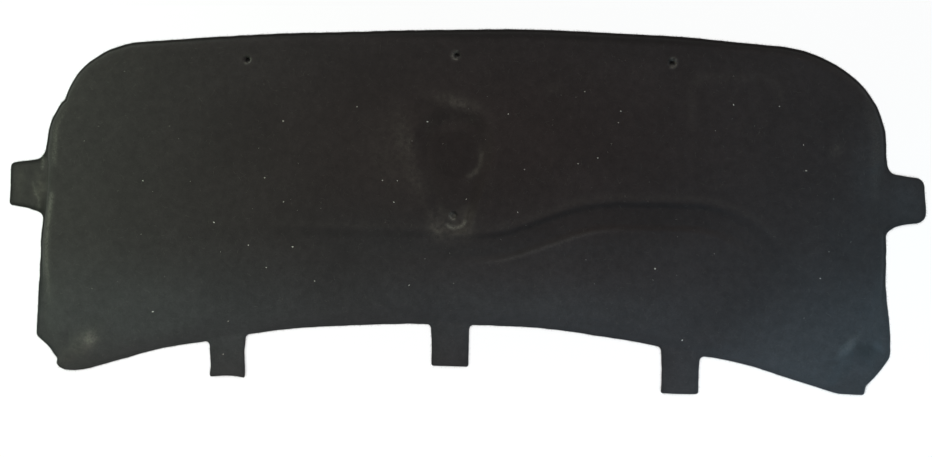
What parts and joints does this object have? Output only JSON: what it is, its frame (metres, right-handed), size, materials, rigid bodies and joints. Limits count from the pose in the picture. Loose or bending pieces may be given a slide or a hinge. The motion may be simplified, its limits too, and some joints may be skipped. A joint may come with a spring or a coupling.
{
  "type": "hood insulation pad",
  "caption": "Moulded black felt pad that lines the underside of a car's hood: thin pressed edge, tabs to tuck under the frame, clip holes, a pear-shaped recess and a channel.",
  "frame": {"origin": "middle of the pad's box, on the flat back that lies on the ground", "axes": "+X across the car, +Y towards the hood's front edge, +Z out of the engine-side face"},
  "size_m": [1.24, 0.48, 0.014],
  "materials": {
    "felt": "matt black needled felt, dusty, with a few light fibres"
  },
  "bodies": {
    "root": {"insulation_pad": "felt"}
  },
  "joints": []
}
